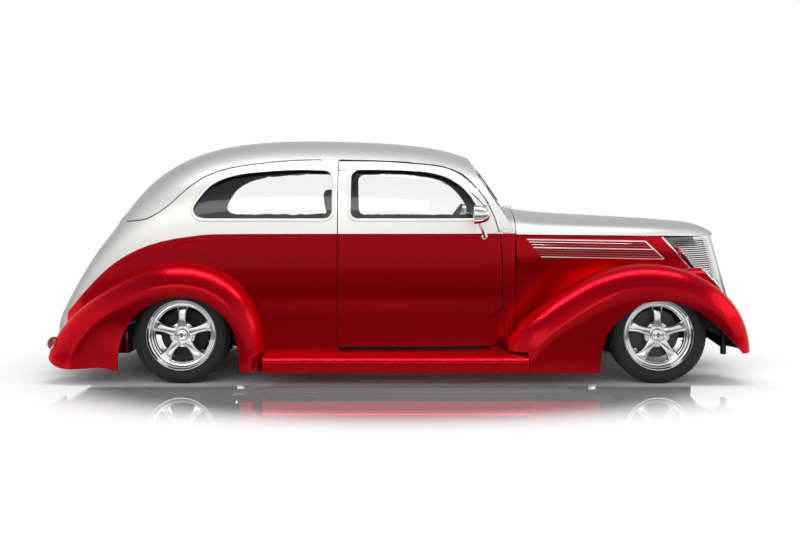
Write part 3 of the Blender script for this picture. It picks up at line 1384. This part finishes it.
# ---------------------------------------------------------------- running gear
# Distance behind the engine, radius and height of the gearbox case's sections.
GEARBOX = ((-0.004, 0.130, 0.330), (0.10, 0.105, 0.318), (0.30, 0.078, 0.298), (0.46, 0.062, 0.286))
AIR_CLEANER = (
    (0, 0), (0.155, 0), (0.165, 0.010), (0.165, 0.052), (0.155, 0.064), (0.03, 0.068),
    (0.012, 0.080), (0, 0.080),
)
# Middle of the air cleaner and the valve covers along the car.
ENGINE_X = 1.16
# Distance of a valve cover from the middle, its measures, and those of a rib across it.
COVER_OUT, COVER, RIB = 0.150, (0.48, 0.13, 0.062), (0.014, 0.10, 0.012)
RIB_PLACES = (1.00, 1.08, 1.16, 1.24, 1.32)


class SEDAN_OT_running_gear(DressOperator, bpy.types.Operator):
    """Gearbox case, valve covers and air cleaner"""
    bl_idname = "sedan.running_gear"
    bl_label = "Engine and driveline dress"

    def dress(self, context):
        low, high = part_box("engine")
        bm = bmesh.new()
        for (back, wide, z), (back_b, wide_b, z_b) in zip(GEARBOX, GEARBOX[1:]):
            x, x_b = low.x - back, low.x - back_b
            turned(bm, [(0, 0), (wide, 0), (wide_b, x - x_b), (0, x - x_b)],
                   axle((x, 0, z - 0.04), (-1, 0, (z_b - z) / (x - x_b))), 40)
        piece(bm, "gearbox_case", "Cast iron", bevel=0.004)
        bm = bmesh.new()
        for _, side in SIDES:
            block(bm, (ENGINE_X, side * COVER_OUT, high.z + 0.030), *COVER)
            for x in RIB_PLACES:
                block(bm, (x, side * COVER_OUT, high.z + 0.062), *RIB)
        piece(bm, "valve_covers", "Chrome", bevel=0.006)
        bm = bmesh.new()
        turned(bm, AIR_CLEANER, Matrix.Translation((ENGINE_X, 0, high.z + 0.001)), 64)
        piece(bm, "air_cleaner", "Chrome")


# Distance from the middle and height of the heart that a wheel arch is measured from.
HEART_Y, HEART_Z = 0.55, 0.2
# Angle and reach of a splash apron's edge over the wheel, from the arch's heart.
APRON_RIM = (
    (-4, 0.474), (16, 0.472), (38, 0.456), (62, 0.440), (90, 0.444), (115, 0.475), (138, 0.528),
    (152, 0.555),
)
# Lower edge (x, z) of the apron, with its notch over the axle.
APRON_FOOT = (
    (1.060, 0.235), (1.425, 0.235), (1.425, 0.415), (1.657, 0.415), (1.657, 0.235),
    (2.010, 0.235),
)
# Distances of an apron's faces from the middle, and the line (x, z) of its front stay.
APRON_FACES = (0.432, 0.436)
APRON_STAY = ((2.013, 0.136), (2.013, 0.220), (2.010, 0.310))
# Height of the front pan and thickness of its sheet, half of its line (x, y), outer section.
FRONT_PAN_Z, FRONT_PAN_SHEET = 0.372, 0.006
FRONT_PAN_LINE = ((1.985, -0.429), (2.030, -0.330), (2.072, -0.200), (2.100, -0.070))
FRONT_PAN_FACE = (
    (-0.066, -0.030), (-0.062, -0.012), (-0.046, 0.004), (-0.020, 0.014), (0.014, 0.016),
    (0.046, 0.008), (0.064, -0.006),
)
# Thickness of the rear pan, and its rows: height, how far back it stands at each of the widths.
REAR_PAN_SHEET = 0.012
REAR_PAN_WIDTHS = (0.0, 0.15, 0.30, 0.40, 0.45, 0.49)
REAR_PAN = (
    (0.412, (2.118, 2.117, 2.111, 2.098, 2.079, 2.054)),
    (0.404, (2.124, 2.123, 2.117, 2.104, 2.084, 2.059)),
    (0.360, (2.147, 2.146, 2.139, 2.121, 2.096, 2.062)),
    (0.310, (2.168, 2.167, 2.158, 2.129, 2.099, 2.058)),
    (0.260, (2.171, 2.170, 2.161, 2.125, 2.091, 2.045)),
    (0.222, (2.164, 2.163, 2.154, 2.118, 2.084, 2.038)),
    (0.196, (2.140, 2.139, 2.131, 2.100, 2.068, 2.024)),
    (0.184, (2.105, 2.104, 2.097, 2.072, 2.045, 2.006)),
)
# Folded section of the grille's screen, and its height, rear corner, half-width and prow.
SCREEN_FOLD = (
    (0, 1), (0.55, 0.62), (1, 0), (0.55, -0.62), (0, -1),
    (0, -0.985), (0.543, -0.606), (0.986, 0), (0.543, 0.606), (0, 0.985),
)
SCREEN_ROWS = (
    (0.842, 1.705, 0.322, 2.000), (0.760, 1.765, 0.308, 2.024), (0.665, 1.868, 0.288, 2.050),
    (0.560, 1.890, 0.250, 2.080), (0.458, 1.915, 0.215, 2.106),
)


def splash_aprons():
    """Dark sheets between the engine bay and the front wheels, with stays at their front edge."""
    bm = bmesh.new()
    heart = wheel_centre("front_right").x
    sheet = [(heart + reach * cos(radians(turn)), HEART_Z + reach * sin(radians(turn)))
             for turn, reach in APRON_RIM]
    for _, side in SIDES:
        swept(bm, [*sheet, *APRON_FOOT],
              [stand((0, side * y, 0), AHEAD, UP, -LEFT) for y in APRON_FACES])
        swept(bm, oval(0.0165, 0.0215, 16, 0.5),
              [stand((x, side * APRON_FACES[1], z), AHEAD, LEFT, UP) for x, z in APRON_STAY])
    piece(bm, "splash_aprons", "Chassis black")


def front_pan():
    """Rounded painted panel below the grille."""
    bm = bmesh.new()
    line = [*FRONT_PAN_LINE, *((x, -y) for x, y in reversed(FRONT_PAN_LINE))]
    run = smooth_run([(x, y, FRONT_PAN_Z) for x, y in line], 3)
    ways = [after - before for before, after in zip(run[:1] + run[:-1], run[1:] + run[-1:])]
    back = [(a * 0.98, b - FRONT_PAN_SHEET) for a, b in reversed(FRONT_PAN_FACE)]
    swept(bm, [*FRONT_PAN_FACE, *back],
          along(run, [Vector((way.y, -way.x, 0)).normalized() for way in ways]))
    piece(bm, "front_pan", "Candy red paint")


def rear_pan():
    """Painted panel across the lower rear edge of the body."""
    bm = bmesh.new()
    bands = []
    for z, backs in REAR_PAN:
        half = list(zip(REAR_PAN_WIDTHS, backs))
        across = [(-y, back) for y, back in reversed(half)] + half[1:]
        bands.append(smooth_run([(-back, y, z) for y, back in across], 3))
    lofted(bm, [[*line, *(spot + AHEAD * REAR_PAN_SHEET for spot in reversed(line))]
                for line in zip(*bands)])
    piece(bm, "rear_pan", "Pearl paint")


def grille_screen():
    """Dark folded core behind the grille's bars."""
    bm = bmesh.new()
    swept(bm, SCREEN_FOLD, [stand((rear, 0, z), AHEAD * (prow - rear), LEFT * half, UP)
                            for z, rear, half, prow in SCREEN_ROWS])
    piece(bm, "grille_screen", "Cast iron")


class SEDAN_OT_wheel_wells(DressOperator, bpy.types.Operator):
    """Dark fender linings and splash aprons, the painted pans and the screen of the grille"""
    bl_idname = "sedan.wheel_wells"
    bl_label = "Wheel wells and pans"

    def dress(self, context):
        for name, side, centre in each_wheel():
            heart = Vector((centre.x, side * HEART_Y, HEART_Z))
            inner_skin(f"fender_lining_{name}", name.replace("_", "_fender_"), "root",
                       "Chassis black", lambda spot: spot - heart, -0.15, 0.0008)
        splash_aprons()
        front_pan()
        rear_pan()
        grille_screen()


# ---------------------------------------------------------------- stage
class SEDAN_OT_stage(DressOperator, bpy.types.Operator):
    """Pale floor, plain background, soft lamps and the camera"""
    bl_idname = "sedan.stage"
    bl_label = "Stage"

    def dress(self, context):
        stage = context.scene.sedan_stage
        bm = bmesh.new()
        bmesh.ops.create_grid(bm, x_segments=1, y_segments=1, size=40)
        floor = shown(bm, "floor")
        floor.data.materials.append(finish("Floor"))
        light_world(context.scene, stage.sky)
        for name, place, turn, wide, deep, power in (
                ("overhead lamp", (0.6, -0.9, 4.6), (0, 0, 0), 6.5, 1.6, stage.key),
                ("side lamp", (-1.5, -6.5, 3.4), (radians(64), 0, 0), 6.0, 2.0, stage.fill),
                ("nose lamp", (6.0, -1.5, 2.6), (radians(66), 0, radians(96)), 3.0, 2.0,
                 stage.fill * 0.4)):
            lamp = bpy.data.lights.new(name, "AREA")
            lamp.shape = "RECTANGLE"
            lamp.size, lamp.size_y, lamp.energy = wide, deep, power
            holder = bpy.data.objects.new(name, lamp)
            holder.location, holder.rotation_euler = place, turn
            context.scene.collection.objects.link(holder)
        camera = bpy.data.objects.new("camera", bpy.data.cameras.new("camera"))
        camera.location = stage.eye
        camera.rotation_euler = (pi / 2, 0, 0)
        camera.data.lens = stage.lens
        camera.data.shift_y = stage.rise
        context.scene.collection.objects.link(camera)
        context.scene.camera = camera
        context.scene.view_settings.view_transform = "Standard"


def light_world(scene, sky):
    """White to the camera and in level reflections, greyer overhead, soft grey as a lamp."""
    world = bpy.data.worlds.new("Studio")
    world.use_nodes = True
    tree = world.node_tree
    tree.nodes.clear()
    way = tree.nodes.new("ShaderNodeTexCoord").outputs["Generated"]
    high = fade(tree, split(tree, way)["Z"], 0.30, 0.75)
    lamp, plain = (add_node(tree, "ShaderNodeBackground", {
        "Color": mix(tree, high, (1, 1, 1), tone), "Strength": strength}).outputs[0]
        for tone, strength in (((0.55, 0.56, 0.58), 0.85), (sky, 1.0)))
    output = tree.nodes.new("ShaderNodeOutputWorld")
    feed(output, Surface=blended(tree, seen_rays(tree), lamp, plain))
    scene.world = world


def seen_rays(tree):
    """1 for rays from the camera, in reflections and through glass."""
    rays = tree.nodes.new("ShaderNodeLightPath").outputs
    return plus(tree, plus(tree, rays["Is Camera Ray"], rays["Is Glossy Ray"]),
                rays["Is Transmission Ray"], True)


# ---------------------------------------------------------------- add-on
OPERATORS = (
    SEDAN_OT_stage, SEDAN_OT_paint_body, SEDAN_OT_tyres, SEDAN_OT_rims, SEDAN_OT_hood_trim,
    SEDAN_OT_grille_trim, SEDAN_OT_mouldings, SEDAN_OT_side_windows, SEDAN_OT_screens,
    SEDAN_OT_headlamps, SEDAN_OT_mirrors, SEDAN_OT_tail, SEDAN_OT_linings, SEDAN_OT_seats,
    SEDAN_OT_dash_fittings, SEDAN_OT_running_gear, SEDAN_OT_wheel_wells,
)


class SEDAN_PT_panel(bpy.types.Panel):
    """Lists the operators that dress the sedan"""
    bl_idname = "SEDAN_PT_panel"
    bl_label = "Street sedan"
    bl_space_type = "VIEW_3D"
    bl_region_type = "UI"
    bl_category = "Sedan"

    def draw(self, context):
        for operator in OPERATORS:
            self.layout.operator(operator.bl_idname)
        for holder, settings in SETTINGS.items():
            box = self.layout.box()
            for name in settings.__annotations__:
                box.prop(getattr(context.scene, holder), name)


def register():
    for holder, settings in SETTINGS.items():
        bpy.utils.register_class(settings)
        setattr(bpy.types.Scene, holder, PointerProperty(type=settings))
    for operator in OPERATORS:
        bpy.utils.register_class(operator)
    bpy.utils.register_class(SEDAN_PT_panel)


def unregister():
    bpy.utils.unregister_class(SEDAN_PT_panel)
    for operator in reversed(OPERATORS):
        bpy.utils.unregister_class(operator)
    for holder, settings in SETTINGS.items():
        delattr(bpy.types.Scene, holder)
        bpy.utils.unregister_class(settings)


def main():
    register()
    for operator in OPERATORS:
        getattr(bpy.ops.sedan, operator.bl_idname.split(".")[1])()


if __name__ == "__main__":
    main()
